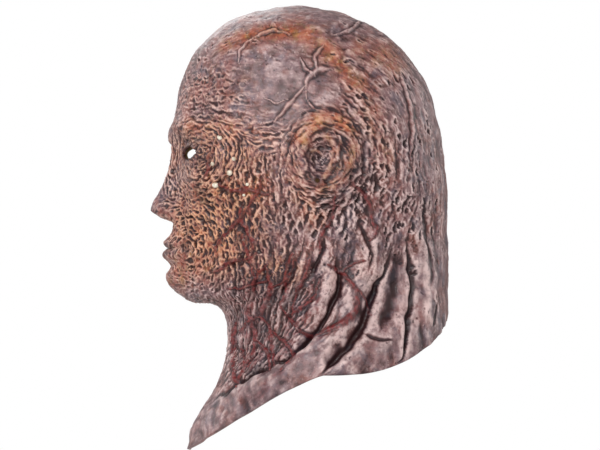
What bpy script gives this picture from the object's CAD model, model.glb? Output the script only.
import itertools
import math
from types import SimpleNamespace

import bpy
import numpy as np
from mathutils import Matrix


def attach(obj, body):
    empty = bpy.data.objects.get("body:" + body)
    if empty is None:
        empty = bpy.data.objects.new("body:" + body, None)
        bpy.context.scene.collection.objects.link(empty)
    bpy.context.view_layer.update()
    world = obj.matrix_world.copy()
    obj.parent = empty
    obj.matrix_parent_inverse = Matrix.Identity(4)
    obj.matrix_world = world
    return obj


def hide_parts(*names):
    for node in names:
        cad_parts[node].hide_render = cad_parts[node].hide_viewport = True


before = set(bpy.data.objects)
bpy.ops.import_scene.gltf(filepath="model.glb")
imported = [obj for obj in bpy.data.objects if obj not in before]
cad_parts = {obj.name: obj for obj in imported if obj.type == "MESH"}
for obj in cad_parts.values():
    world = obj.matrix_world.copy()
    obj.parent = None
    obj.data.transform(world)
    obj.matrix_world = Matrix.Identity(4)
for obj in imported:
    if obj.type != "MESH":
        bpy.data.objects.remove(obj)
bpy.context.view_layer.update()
print("loaded", len(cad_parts), "cad nodes")

mm = 0.001
draws = np.random.default_rng(31)

# The head the latex was cast on: overall sizes in mm, then rows from the crown to the hem with
# front (y, drop), side (x, y, drop), back (y, drop) and the pinch of the front.
head = {
    "wide": 184.0, "deep": 223.0, "long": 371.0,
    "sizedRow": 6, "napeFullness": 0.08, "crownTop": 14.5,
    "eye": (33, 124), "nose": 169, "mouth": 202.5, "chin": 231, "ear": (26, 129),
    "rows": (
        ((0, 0), (0, 0, 0), (0, 0), 0.00),
        ((-30, 4), (32, 2, 4), (32, 3), 0.00),
        ((-58, 17), (58, 4, 16), (66, 15), 0.00),
        ((-79, 38), (76, 6, 37), (95, 37), 0.00),
        ((-92, 66), (86, 8, 65), (113, 64), 0.00),
        ((-97, 98), (91, 10, 98), (124, 98), 0.00),
        ((-94, 126), (92, 13, 128), (129, 130), 0.02),
        ((-93, 154), (90, 16, 154), (131, 156), 0.08),
        ((-95, 178), (86, 18, 176), (131, 176), 0.17),
        ((-98, 202), (82, 19, 196), (131, 193), 0.27),
        ((-98, 228), (79, 20, 214), (132, 207), 0.35),
        ((-84, 246), (79, 21, 228), (132, 218), 0.32),
        ((-62, 250), (81, 22, 240), (132, 228), 0.20),
        ((-52, 266), (86, 23, 252), (132, 237), 0.12),
        ((-52, 292), (92, 24, 266), (133, 245), 0.14),
        ((-64, 320), (98, 25, 280), (133, 252), 0.22),
        ((-80, 348), (103, 26, 292), (133, 258), 0.32),
        ((-87, 371), (106, 27, 303), (132, 263), 0.38),
    ),
}


def bell(distance, width):
    return np.exp(-((distance / width) ** 2))


def ease(value, low, high):
    share = np.clip((value - low) / (high - low), 0.0, 1.0)
    return share * share * (3.0 - 2.0 * share)


def rowTable():
    rows = [[*front, *side, *back, pinch] for front, side, back, pinch in head["rows"]]
    one = rows[1]
    before = [one[5], one[6], -one[2], one[3], one[4], one[0], one[1], one[7]]
    after = [2 * a - b for a, b in zip(rows[-1], rows[-2])]
    return np.array([before, *rows, after], float)


table = rowTable()
front, side, back, pinch = head["rows"][head["sizedRow"]]
scale = np.array([head["wide"] / (2 * side[0]), head["deep"] / (back[0] - front[0]),
                  head["long"] / head["rows"][-1][0][1]]) * mm
lastRow = len(head["rows"]) - 1.0


def toMetres(x, y, drop):
    return np.stack([x * scale[0], y * scale[1], head["crownTop"] * mm - drop * scale[2]], axis=-1)


def rowSizes(row):
    row = np.clip(row, 0.0, lastRow)
    first = np.minimum(row.astype(int), len(head["rows"]) - 2)
    t = (row - first)[..., None]
    before, here, there, after = (table[first + k] for k in range(4))
    return 0.5 * (2 * here + (there - before) * t
                  + (2 * before - 5 * here + 4 * there - after) * t ** 2
                  + (3 * here - before - 3 * there + after) * t ** 3)


def faceRelief(x, drop):
    across = np.abs(x)
    eyeSide, eyeDrop = head["eye"]
    nose, mouth, chin = head["nose"], head["mouth"], head["chin"]
    arch = 5 * np.sin(np.pi * np.clip(across / 62, 0, 1))
    total = 4.5 * bell(drop - (eyeDrop - 17) + arch, 9) * (1 - ease(across, 44, 64))
    total = total - 10.5 * bell(across - eyeSide + 1, 18) * bell(drop - eyeDrop + 3, 13)
    total = total + 6.5 * bell(across - eyeSide, 15) * bell(drop - eyeDrop, 9)
    narrow = 8.0 + 6.0 * ease(drop, 130, nose)
    rise = 11.0 * ease(drop, 98, 150) + 12.0 * ease(drop, 138, nose)
    total = total + (rise * (1 - ease(drop, nose + 2, nose + 13))
                     * np.exp(-((across / narrow) ** 2.2)))
    total = total + 8.5 * bell(across - 14.5, 6) * bell(drop - nose - 2, 6.5)      # nostril wings
    total = total + 5.0 * bell(across - 52, 18) * bell(drop - 150, 18)             # cheekbones
    total = total - 3.0 * bell(across - 50, 15) * bell(drop - 190, 16)
    total = total + 5.0 * bell(across, 30) * bell(drop - mouth + 2, 22)
    total = total - 1.3 * bell(across, 3.5) * bell(drop - mouth + 15, 7)
    total = total + (1 - ease(across, 17, 28)) * (
        4.4 * bell(drop - mouth + 5 - 0.04 * across, 4.2)
        + 5.0 * bell(drop - mouth - 6 + 0.05 * across, 4.8) - 3.2 * bell(drop - mouth, 1.9))
    total = total - 2.2 * bell(across - 28, 5) * bell(drop - mouth, 6)
    total = total - 3.4 * bell(across, 22) * bell(drop - mouth - 15, 5)
    return total + 6.0 * bell(across, 19) * bell(drop - chin, 12)


def earReach(y, drop):
    below = drop - head["ear"][1]
    return np.hypot(below / 30, (y - head["ear"][0] - 0.12 * below) / 24)


def formPlaces(turn, row):
    # x, y and drop on the outside of the cast, in the head's own mm
    frontY, frontD, sideX, sideY, sideD, backY, backD, tight = np.moveaxis(rowSizes(row), -1, 0)
    ahead, astern = np.maximum(np.cos(turn), 0), np.maximum(-np.cos(turn), 0)
    x = sideX * np.sin(turn) * (1 - tight * ahead ** 2 + head["napeFullness"] * astern ** 2)
    y = sideY + (frontY - sideY) * ahead + (backY - sideY) * astern
    drop = sideD + (frontD - sideD) * ahead ** 1.25 + (backD - sideD) * astern ** 3
    y = y - faceRelief(x, drop) * ease(ahead, 0.25, 0.55) * (1 - ease(row, 11.5, 12.4))
    reach = earReach(y, drop)
    ear = 5.5 * bell(reach - 0.75, 0.36) - 1.5 * bell(reach, 0.5)
    return x + np.sign(x) * ear * ease(np.abs(x), 60, 75), y, drop


def castPoints(turn, row):
    return toMetres(*formPlaces(turn, row))


def castNormals(turn, row):
    nudge = 0.02
    along = castPoints(turn + nudge, row) - castPoints(turn - nudge, row)
    down = castPoints(turn, row + nudge) - castPoints(turn, row - nudge)
    normal = np.cross(down, along)
    return normal / np.maximum(np.linalg.norm(normal, axis=-1, keepdims=True), 1e-12)


def underSkin(turn, row, depth):
    turn, row = np.broadcast_arrays(np.asarray(turn, float), np.asarray(row, float))
    return castPoints(turn, row) - castNormals(turn, row) * depth


def halfReach(turn, row, turning, wanted):
    # how far to go either way, in turn or in rows, to span the wanted width
    low, high = 0.0, 1.5
    for _ in range(24):
        half = (low + high) / 2
        a, b = (half, 0.0) if turning else (0.0, half)
        span = underSkin(turn + a, row + b, 0) - underSkin(turn - a, row - b, 0)
        low, high = (half, high) if np.linalg.norm(span) < wanted else (low, half)
    return high


# What is glued inside: turn from the face and row, then width and height in metres.
lining = {
    "wall": 2.5 * mm, "glue": 1.0 * mm, "padThick": 9.0 * mm, "gauzeThick": 1.2 * mm,
    "labelThick": 0.8 * mm, "crownPadThick": 11.0 * mm, "crownPadWide": 64.0 * mm,
    "pads": {
        "forehead_pad": ((0.0, 4.1), (66.0 * mm, 32.0 * mm)),
        "nape_pad": ((math.pi, 6.6), (72.0 * mm, 38.0 * mm)),
        "chin_pad": ((0.0, 10.9), (22.0 * mm, 15.0 * mm)),
        "left_temple_pad": ((1.25, 5.0), (40.0 * mm, 50.0 * mm)),
        "right_temple_pad": ((-1.25, 5.0), (40.0 * mm, 50.0 * mm)),
        "left_cheek_pad": ((1.10, 8.4), (36.0 * mm, 38.0 * mm)),
        "right_cheek_pad": ((-1.10, 8.4), (36.0 * mm, 38.0 * mm)),
    },
    "patches": {
        "left_strap_patch": ((2.05, 10.6), (31.0 * mm, 18.0 * mm)),
        "right_strap_patch": ((-2.05, 10.6), (31.0 * mm, 18.0 * mm)),
    },
    "label": ((math.pi - 0.35, 10.2), (15.0 * mm, 23.0 * mm)),
}


# Noise that belongs to a place in space, so it has no seam and stays the same each time.
slopes = draws.normal(size=(256, 3))
slopes = (slopes / np.linalg.norm(slopes, axis=1, keepdims=True)).astype(np.float32)


def cellNumber(cell, seed):
    mixed = (cell[..., 0] * 73856093) ^ (cell[..., 1] * 19349663) ^ (cell[..., 2] * 83492791)
    mixed = (mixed ^ (seed * 40503)) * 1274126177
    return (mixed ^ (mixed >> 17)) & 0xFFFFFF


def softNoise(places, size, seed):
    scaled = places / size
    cell = np.floor(scaled).astype(np.int64)
    inside = (scaled - cell).astype(np.float32)
    fade = inside ** 3 * (inside * (inside * 6 - 15) + 10)
    total = np.zeros(len(places), np.float32)
    for corner in itertools.product((0, 1), repeat=3):
        weight = np.ones(len(places), np.float32)
        for axis in range(3):
            weight *= fade[:, axis] if corner[axis] else 1 - fade[:, axis]
        slope = slopes[(cellNumber(cell + corner, seed) >> 7) & 255]
        total += weight * np.einsum("ij,ij->i", slope, inside - np.float32(corner))
    return total * 1.7


def layeredNoise(places, size, seed, layers=3):
    return sum(softNoise(places, size / 2 ** k, seed + k) * 0.55 ** k for k in range(layers))


def nearestSpots(places, along, size, stretch, seed, share=None):
    # distances to the nearest and second scattered spot, shorter along the lie of the skin
    scaled = places / size
    cell = np.floor(scaled).astype(np.int64)
    nearest = np.full(len(places), 3.0, np.float32)
    second = nearest.copy()
    lot = np.zeros(len(places), np.float32)
    for offset in itertools.product((-1, 0, 1), repeat=3):
        number = cellNumber(cell + offset, seed)
        spot = np.stack([(number >> k) & 255 for k in (0, 8, 16)], axis=-1) / np.float32(255)
        gap = (cell + offset - scaled + spot).astype(np.float32)
        lengthways = np.einsum("ij,ij->i", gap, along)
        distance = np.sqrt(np.maximum(np.einsum("ij,ij->i", gap, gap)
                                      - lengthways ** 2 * (1 - 1 / stretch ** 2), 0))
        chance = ((number * 7919) >> 9 & 1023) / np.float32(1023)
        if share is not None:
            distance = np.where(chance < share, distance, 3.0)
        closer = distance < nearest
        second = np.where(closer, nearest, np.minimum(second, distance))
        lot = np.where(closer, chance, lot)
        nearest = np.where(closer, distance, nearest)
    return nearest, second, lot


# The lie of the skin: at (y, drop) it runs along (dy, dd), felt within the reach.
lie = {
    "strokes": (
        (-20, 15, 1.0, -0.1, 30), (40, 10, 1.0, 0.25, 30), (85, 40, 0.9, 1.0, 26),
        (110, 80, 0.25, 1.0, 24), (118, 130, 0.1, 1.0, 24), (20, 60, 1.0, 0.25, 26),
        (60, 80, 0.8, 0.8, 22), (35, 185, -0.2, 1.0, 18), (70, 160, -0.3, 1.0, 18),
        (88, 120, 0.1, 1.0, 18), (90, 190, -0.1, 1.0, 22), (120, 220, 0.02, 1.0, 26),
        (-20, 240, -0.25, 1.0, 18), (5, 225, -0.5, 1.0, 22), (-40, 265, 0.15, 1.0, 18),
        (-15, 280, -0.3, 1.0, 20), (35, 245, -0.35, 1.0, 22), (60, 265, -0.7, 1.0, 22),
        (20, 285, -1.0, 0.9, 20), (-60, 320, -1.0, 0.7, 22), (-20, 310, -1.0, 0.6, 20),
        (95, 265, -0.1, 1.0, 22),
    ),
    # the face by plain anatomy: rings round eye and mouth, a level brow, cheeks straight down
    "ringY": (-74, -86), "ringAway": (23, 27), "ringSpread": 14,
    "browRows": (50, 82), "browY": (-80, -45, -12), "browSpread": 22,
    "cheekRows": (160, 190, 220), "cheekY": (-36, -12), "cheekSpread": 17,
    "earReach": 1.55, "crownWander": 1.8,
}


def faceStrokes():
    made = [(y, drop, 1.0, 0.0, lie["browSpread"])
            for y in lie["browY"] for drop in lie["browRows"]]
    made += [(y, drop, 0.0, 1.0, lie["cheekSpread"])
             for y in lie["cheekY"] for drop in lie["cheekRows"]]
    for y, drop, away in zip(lie["ringY"], (head["eye"][1], head["mouth"]), lie["ringAway"]):
        for angle in np.arange(8) * math.pi / 4:
            made.append((y + away * math.cos(angle), drop + away * math.sin(angle),
                         -math.sin(angle), math.cos(angle), lie["ringSpread"]))
    return made


def lieOfSkin(places, normals):
    # unit vectors along the lie; angles are doubled while they are mixed, as a lie has no sign
    x, y, drop = places.T
    cosine, sine = np.full(len(y), 1e-4), np.zeros(len(y))
    for atY, atDrop, dy, dd, reach in (*lie["strokes"], *faceStrokes()):
        weight = np.exp(-((y - atY) ** 2 + (drop - atDrop) ** 2) / reach ** 2)
        angle = 2 * math.atan2(dd, dy)
        cosine += weight * math.cos(angle)
        sine += weight * math.sin(angle)
    size = np.maximum(np.hypot(cosine, sine), 1e-9)
    roundEar = 2 * np.arctan2(y - head["ear"][0], -(drop - head["ear"][1]))
    near = ease(lie["earReach"] - earReach(y, drop), 0.0, 0.35) * (np.abs(x) > 45)
    cosine = cosine / size * (1 - near) + np.cos(roundEar) * near
    sine = sine / size * (1 - near) + np.sin(roundEar) * near
    angle = np.arctan2(sine, cosine) / 2
    # over the crown it wanders, so it leaves no rings
    angle = angle + lie["crownWander"] * softNoise(places, 30, 26) * (1 - ease(drop, 15, 55))
    turned = np.arctan2(np.abs(x), 18 - y)
    way = np.sign(x) + (x == 0)
    flat = np.stack([way * np.cos(turned) * np.cos(angle), np.sin(turned) * np.cos(angle),
                     np.sin(angle)], axis=-1)
    flat -= normals * np.sum(flat * normals, axis=-1, keepdims=True)
    length = np.linalg.norm(flat, axis=-1, keepdims=True)
    return (flat / np.maximum(length, 1e-6)).astype(np.float32)


def combed(places, along, size, reach, seed, steps=4):
    # noise smeared along the lie, which leaves strands
    total = softNoise(places, size, seed)
    for way in (1, -1):
        bends = places
        for k in range(1, steps + 1):
            bends = bends + along * (way * reach / steps)
            total = total + softNoise(bends, size, seed) * (1 - 0.6 * k / steps)
    return total / math.sqrt(1 + 2 * steps * 0.4)


def lineDistance(y, drop, line):
    # distance to a drawn line and how far along it, 0 to 1
    line = np.asarray(line, float)
    lengths = np.linalg.norm(np.diff(line, axis=0), axis=1)
    starts = np.concatenate([[0], np.cumsum(lengths)])
    best, share = np.full(len(y), 1e3), np.zeros(len(y))
    for k in range(len(line) - 1):
        step = line[k + 1] - line[k]
        t = np.clip(((y - line[k, 0]) * step[0] + (drop - line[k, 1]) * step[1])
                    / max(step @ step, 1e-9), 0, 1)
        gap = np.hypot(y - line[k, 0] - t * step[0], drop - line[k, 1] - t * step[1])
        closer = gap < best
        share = np.where(closer, (starts[k] + t * lengths[k]) / starts[-1], share)
        best = np.where(closer, gap, best)
    return best, share


def smoothLine(points, count=15):
    points = np.asarray(points, float)
    padded = np.vstack([2 * points[0] - points[1], points, 2 * points[-1] - points[-2]])
    made = []
    for s in np.linspace(0, len(points) - 1 - 1e-6, count):
        k, t = int(s), s - int(s)
        a, b, c, d = padded[k:k + 4]
        made.append(0.5 * (2 * b + (c - a) * t + (2 * a - 5 * b + 4 * c - d) * t ** 2
                           + (3 * b - a - 3 * c + d) * t ** 3))
    return np.array(made)


skin = {
    "columns": 840, "crowding": 0.36,
    # relief in mm: swells, crumples, strands, fine strands, sinews, and what is sunk into them
    "swell": 1.3, "crumple": 1.1, "strand": 1.6, "fine": 0.55, "finest": 0.22, "sinew": 1.7,
    "cell": 1.9, "dash": 1.7, "speck": 0.5, "holeLip": 0.9, "earBowlDeep": 2.2, "vein": 1.5,
    "earBowl": (24, 131), "earCanal": (21, 147), "eyeShade": 17,
    # how deep the relief may go under pads and patches, and elsewhere
    "deepFitted": 2.0, "deepFree": 9.0,
    "rowRuns": ((0.04, 4.0, 120), (4.0, 11.6, 300), (11.6, 17.0, 140)),
    # creases in the hood: (y, drop) points, depth, half width, dark
    "creases": (
        (((84, 200), (78, 221), (71, 231), (62, 255), (55, 270), (41, 286), (23, 304)),
         5.5, 3.2, 1.0),
        (((92, 192), (97, 212), (101, 231), (97, 255), (94, 274), (91, 289), (84, 297)),
         4.0, 2.2, 1.0),
        (((39, 205), (40, 229), (35, 243), (30, 255), (20, 268), (0, 289)), 4.5, 2.6, 1.0),
        (((30, 192), (23, 213), (18, 224)), 2.6, 1.8, 0.8),
        (((120, 245), (119, 258), (116, 268)), 1.6, 1.5, 0.5),
        (((58, 268), (68, 275), (84, 276)), 1.6, 1.8, 0.5),
        (((-70, 334), (-45, 316), (-24, 303), (-5, 293), (13, 277), (26, 262)), 3.0, 1.7, 1.0),
        (((55, 176), (60, 190), (66, 205), (62, 222)), 1.8, 1.8, 0.5),
        (((112, 150), (110, 185), (113, 215), (110, 240)), 1.8, 2.2, 0.35),
        (((12, 200), (2, 222), (-8, 245), (-14, 268)), 2.0, 1.8, 0.6),
    ),
    # rolls that stand up between them: points, height, half width
    "rolls": (
        (((58, 190), (56, 222), (47, 248), (40, 268), (22, 288)), 5.0, 8.0),
        (((70, 180), (68, 205), (66, 222), (60, 240)), 3.0, 6.5),
        (((102, 175), (110, 215), (112, 250), (108, 274)), 5.0, 8.0),
        (((86, 250), (82, 270), (66, 292)), 2.8, 8.0),
        (((30, 200), (31, 225), (26, 242), (10, 262)), 3.4, 6.0),
        (((10, 195), (8, 222), (0, 245), (-8, 262)), 3.0, 6.0),
        (((122, 120), (125, 170), (125, 230)), 2.0, 7.0),
        (((-32, 236), (-34, 262), (-36, 290)), 2.0, 5.0),
        (((-50, 325), (-25, 310), (0, 298), (22, 280), (40, 295)), 1.8, 8.0),
    ),
    "hollows": ((((87, 214), (86, 228), (80, 254)), 4.2, 6.5),
                 (((38, 282), (32, 292)), 3.0, 5.0)),
    "bandTop": ((-90, -70, -45, -24, -5, 13, 26, 40), (350, 334, 316, 303, 293, 277, 262, 300)),
    # the healed ear's folds: points, height, half width
    "earFolds": (
        (((14, 131), (8, 120), (12, 106), (24, 97), (41, 101), (51, 116), (48, 134), (38, 150),
          (30, 166), (22, 172)), 2.1, 3.9),
        (((24, 150), (32, 140), (36, 127), (30, 114), (20, 112)), 1.5, 2.6),
        (((33, 135), (40, 122), (39, 112)), 1.0, 2.0),
        (((7, 137), (8, 147), (14, 153)), 1.5, 2.6),
        (((14, 124), (21, 123), (27, 128)), 0.7, 1.5),
        (((15, 160), (23, 157), (29, 150)), 1.1, 2.2),
    ),
    # veins: (y, drop) points, half width
    "veins": (
        (((-21, 216), (-16, 234), (-24, 258)), 1.2),
        (((30, 215), (42, 222), (52, 236), (53, 252), (44, 262), (30, 268), (15, 272), (4, 266)),
         1.3),
        (((50, 150), (62, 160), (66, 178), (70, 186), (64, 196)), 0.9),
        (((-24, 258), (-16, 268), (-14, 282), (-12, 296)), 1.0),
        (((-16, 268), (-2, 280), (2, 290), (-6, 300)), 0.8),
        (((15, 272), (8, 268), (-2, 256), (-8, 246)), 0.8),
        (((-44, 262), (-46, 280), (-46, 300), (-42, 316)), 1.2),
        (((12, 70), (2, 82), (-6, 92), (-14, 100)), 0.9),
        (((34, 56), (22, 58), (14, 66), (12, 74)), 1.2),
        (((8, 48), (14, 58), (20, 62)), 0.9),
        (((62, 10), (50, 22), (36, 28)), 0.8),
        (((-30, 236), (-32, 256), (-28, 276), (-32, 300)), 0.9),
        (((-18, 214), (-28, 226), (-30, 244)), 0.8),
        (((2, 205), (-4, 222), (-4, 240), (-12, 256)), 0.9),
        (((18, 200), (14, 220), (6, 238), (2, 256)), 0.8),
        (((-2, 256), (10, 250), (20, 240), (24, 226)), 0.8),
        (((-28, 276), (-18, 286), (-16, 300)), 0.8),
        (((36, 160), (34, 176), (26, 190), (24, 206)), 0.8),
        (((-30, 30), (-14, 24), (0, 28)), 0.7),
        (((90, 60), (98, 85), (100, 110), (98, 130)), 0.9),
        (((-16, 234), (-6, 230), (2, 218), (4, 204)), 0.6),
        (((-46, 280), (-38, 288), (-36, 300), (-44, 312)), 0.7),
        (((-24, 258), (-34, 264), (-40, 274)), 0.6),
        (((42, 222), (50, 214), (60, 212)), 0.6),
        (((52, 236), (62, 244), (66, 256)), 0.6),
        (((12, 74), (18, 88), (28, 92)), 0.5),
        (((-2, 82), (-12, 84), (-22, 80)), 0.5),
        (((22, 58), (20, 46), (28, 38)), 0.7),
        (((-30, 30), (-40, 40), (-42, 52)), 0.6),
    ),
    # veins on the face wander by the seed: number, reach in y and drop, step, half width
    "faceVeins": {"seed": 47, "count": 8, "y": (-72, -12), "drop": (142, 226), "step": 8.5,
                  "steps": 5, "turn": 0.55, "width": (0.6, 1.1)},
    # orange glazes: (y, drop) points, half width, strength
    "glazes": (
        (((-52, 34), (-30, 26), (-2, 24), (12, 27)), 7.5, 0.7),
        (((18, 32), (34, 45), (44, 58), (54, 68)), 8.5, 0.6),
        (((10, 112), (22, 100), (34, 97), (48, 106)), 8.0, 0.75),
        (((36, 140), (34, 148), (26, 154)), 6.0, 0.6),
        (((8, 158), (14, 172), (20, 178)), 9.0, 0.5),
        (((-86, 103), (-50, 103)), 7.0, 0.45),
        (((-72, 153), (-28, 153)), 12.0, 0.8),
        (((-94, 184), (-64, 203), (-94, 222)), 13.0, 0.55),
        (((60, 40), (75, 44), (86, 52)), 10.0, 0.45),
        (((55, 66), (66, 84), (70, 100)), 9.0, 0.4),
        (((58, 95), (70, 110), (76, 130)), 8.0, 0.35),
    ),
    "bigCellZones": ((18, 176, 34, 24, 0.9), (64, 158, 30, 34, 0.75), (60, 108, 26, 26, 0.4),
                     (95, 150, 22, 50, 0.3)),
    "sinewZones": ((-15, 240, 34, 50, 0.9), (-32, 290, 30, 34, 0.8), (12, 262, 26, 26, 0.6)),
    "shadeZones": ((-20, 265, 30, 45, 0.8), (40, 255, 30, 34, 0.6), (110, 280, 34, 16, 0.5),
                   (70, 285, 30, 16, 0.4)),
    # where cells and strands crowd: (y, drop), reach across and down, share; the face is even
    "cellZones": ((-60, 182, 50, 56, 0.95), (-62, 74, 40, 22, 0.4)),
    "strandZones": ((-58, 124, 52, 34, 0.8), (26, 129, 50, 52, 0.55), (-15, 240, 40, 40, 0.9),
                    (-30, 285, 34, 34, 0.9), (35, 235, 40, 45, 0.45)),
    "smoothZones": ((0, 74, 46, 30, 0.95), (20, 16, 90, 34, 0.85), (110, 90, 40, 60, 0.45),
                    (95, 250, 45, 50, 0.85), (75, 285, 60, 22, 0.9), (50, 240, 24, 45, 0.75)),
}


def faceVeins():
    plan = skin["faceVeins"]
    draw = np.random.default_rng(plan["seed"])
    made = []
    for _ in range(plan["count"]):
        at = np.array([draw.uniform(*plan["y"]), draw.uniform(*plan["drop"])])
        heading, line = draw.uniform(0, 2 * math.pi), [at]
        for _ in range(plan["steps"]):
            heading += draw.uniform(-plan["turn"], plan["turn"])
            line.append(line[-1] + plan["step"] * np.array([math.cos(heading), math.sin(heading)]))
        made.append((line, draw.uniform(*plan["width"])))
    return made


def zoneShare(y, drop, zones):
    total = np.zeros(len(y))
    for atY, atDrop, across, down, share in zones:
        total = np.maximum(total, share * np.exp(-(((y - atY) / across) ** 2
                                                   + ((drop - atDrop) / down) ** 2) ** 1.5))
    return total


def gridBlur(field, reach):
    # two passes of a running mean, closed round the turn
    for _ in range(2):
        for axis, mode in ((1, "wrap"), (0, "edge")):
            spread = [(0, 0), (0, 0)]
            spread[axis] = (reach + 1, reach)
            sums = np.cumsum(np.pad(field, spread, mode=mode), axis=axis)
            width = 2 * reach + 1
            if axis:
                field = (sums[:, width:] - sums[:, :-width]) / width
            else:
                field = (sums[width:] - sums[:-width]) / width
    return field


def liningMask(turn, row):
    # 1 under the pads and patches, where the inside must stay even
    mask = np.clip(1 - ease(row, 0.95, 1.6), 0, 1)
    places = [*lining["pads"].values(), *lining["patches"].values(), lining["label"]]
    for (atTurn, atRow), (wide, high) in places:
        halfTurn = halfReach(atTurn, atRow, True, wide)
        halfRow = halfReach(atTurn, atRow, False, high)
        across = np.abs((turn - atTurn + np.pi) % (2 * np.pi) - np.pi) / halfTurn
        down = np.abs(row - atRow) / halfRow
        reach = (across ** 3 + down ** 3) ** (1 / 3)
        mask = np.maximum(mask, 1 - ease(reach, 1.1, 1.5))
    return mask


holes = {
    "eyeWide": 30.0, "eyeHigh": 11.0, "mouthWide": 34.0, "mouthSlit": 2.0,
    "nostril": 4.0, "nostrilAside": 6.5, "nostrilY": -107, "vent": 4.0,
}


def holeList():
    # centre in metres, the two axes it is drawn on, half sizes in metres, and a test for its side
    eyeSide, eyeDrop = head["eye"]
    earY, earDrop = head["ear"]
    nose = head["nose"]
    slit = (holes["mouthWide"] / 2 * mm, holes["mouthSlit"] * mm)
    eye = (holes["eyeWide"] / 2 * mm, holes["eyeHigh"] * mm)
    nostril, vent = ((holes[name] / 2 * mm,) * 2 for name in ("nostril", "vent"))
    made = [(toMetres(0, 0, head["mouth"]), (0, 2), "almond", slit, lambda x, y, drop: y < -60)]
    for way in (1, -1):
        made.append((toMetres(way * eyeSide, 0, eyeDrop), (0, 2), "almond", eye,
                     lambda x, y, drop: y < -30))
        made.append((toMetres(way * holes["nostrilAside"], holes["nostrilY"], 0), (0, 1), "disc",
                     nostril,
                     lambda x, y, drop: (y < -60) & (drop > nose - 1) & (drop < nose + 17)))
        made.append((toMetres(0, earY - 4, earDrop + 18), (1, 2), "disc", vent,
                     lambda x, y, drop, way=way: x * way > 50))
    return made


def holeEdge(kind, sizes, u, v):
    # distance outside the outline, and the outline's nearest point
    if kind == "disc":
        away = np.maximum(np.hypot(u, v), 1e-9)
        return away - sizes[0], u / away * sizes[0], v / away * sizes[0]
    inside = np.clip(1 - (u / sizes[0]) ** 2, 0, 1)
    high = sizes[1] * np.where(v > 0, 0.56, 0.44) * inside ** 0.675
    beyond = np.abs(u) > sizes[0]
    away = np.where(beyond, np.hypot(np.abs(u) - sizes[0], v), np.abs(v) - high)
    edgeU = np.where(beyond, np.sign(u) * sizes[0], u)
    return away, edgeU, np.where(beyond, 0.0, np.where(v > 0, 1, -1) * high)


def cutHoles(turn, row):
    # marks what lies in a hole and draws the vertices round it onto the hole's outline
    x, y, drop = formPlaces(turn, row)
    points = toMetres(x, y, drop)
    gone = np.zeros(turn.shape, bool)
    nearHole = np.full(turn.shape, 99.0)
    for centre, axes, kind, sizes, onSide in holeList():
        u, v = points[..., axes[0]] - centre[axes[0]], points[..., axes[1]] - centre[axes[1]]
        away, _, _ = holeEdge(kind, sizes, u, v)
        here = onSide(x, y, drop) & (np.abs(u) < sizes[0] + 40 * mm) & (np.abs(v) < 40 * mm)
        inside = here & (away < 0)
        gone |= inside
        nearHole = np.where(here, np.minimum(nearHole, np.maximum(away, 0) / mm), nearHole)
        quad = inside[:-1] | inside[1:]
        quad |= np.roll(quad, -1, axis=1)
        touched = np.zeros(turn.shape, bool)
        for rows in (slice(None, -1), slice(1, None)):
            touched[rows] |= quad | np.roll(quad, 1, axis=1)
        r, c = np.nonzero(touched & ~inside & here)
        for _ in range(3):
            t, w = turn[r, c], row[r, c]
            at = castPoints(t, w)[:, axes] - centre[list(axes)]
            _, edgeU, edgeV = holeEdge(kind, sizes, at[:, 0], at[:, 1])
            nudge = 0.002
            byTurn = (castPoints(t + nudge, w) - castPoints(t - nudge, w))[:, axes] / (2 * nudge)
            byRow = (castPoints(t, w + nudge) - castPoints(t, w - nudge))[:, axes] / (2 * nudge)
            du, dv = edgeU - at[:, 0], edgeV - at[:, 1]
            det = byTurn[:, 0] * byRow[:, 1] - byTurn[:, 1] * byRow[:, 0]
            det = np.where(np.abs(det) < 1e-9, 1e-9, det)
            turn[r, c] = t + np.clip((du * byRow[:, 1] - dv * byRow[:, 0]) / det, -0.02, 0.02)
            row[r, c] = w + np.clip((dv * byTurn[:, 0] - du * byTurn[:, 1]) / det, -0.06, 0.06)
    return gone, nearHole


def strayed(places, size, reach, seed):
    return places + reach * np.stack([softNoise(places, size, seed + k) for k in range(3)], axis=-1)


def spotsWhere(share, places, along, size, stretch, seed, thinned):
    # nearestSpots only where the share is above nothing, which saves time
    here = np.nonzero(share > 0.02)[0]
    nearest, second, lot = np.full(len(share), 3.0), np.full(len(share), 3.0), np.zeros(len(share))
    found = nearestSpots(places[here], along[here], size, stretch, seed,
                         share[here] if thinned else None)
    nearest[here], second[here], lot[here] = found
    return nearest, second, lot


def openCells(share, places, along, size, stretch, seed):
    # cells with thin walls, from how much nearer the nearest spot is than the next
    near, second, lot = spotsWhere(share, places, along, size, stretch, seed, False)
    return ease(second - near, 0.03, 0.34) * (0.35 + 1.0 * lot) * share


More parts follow.
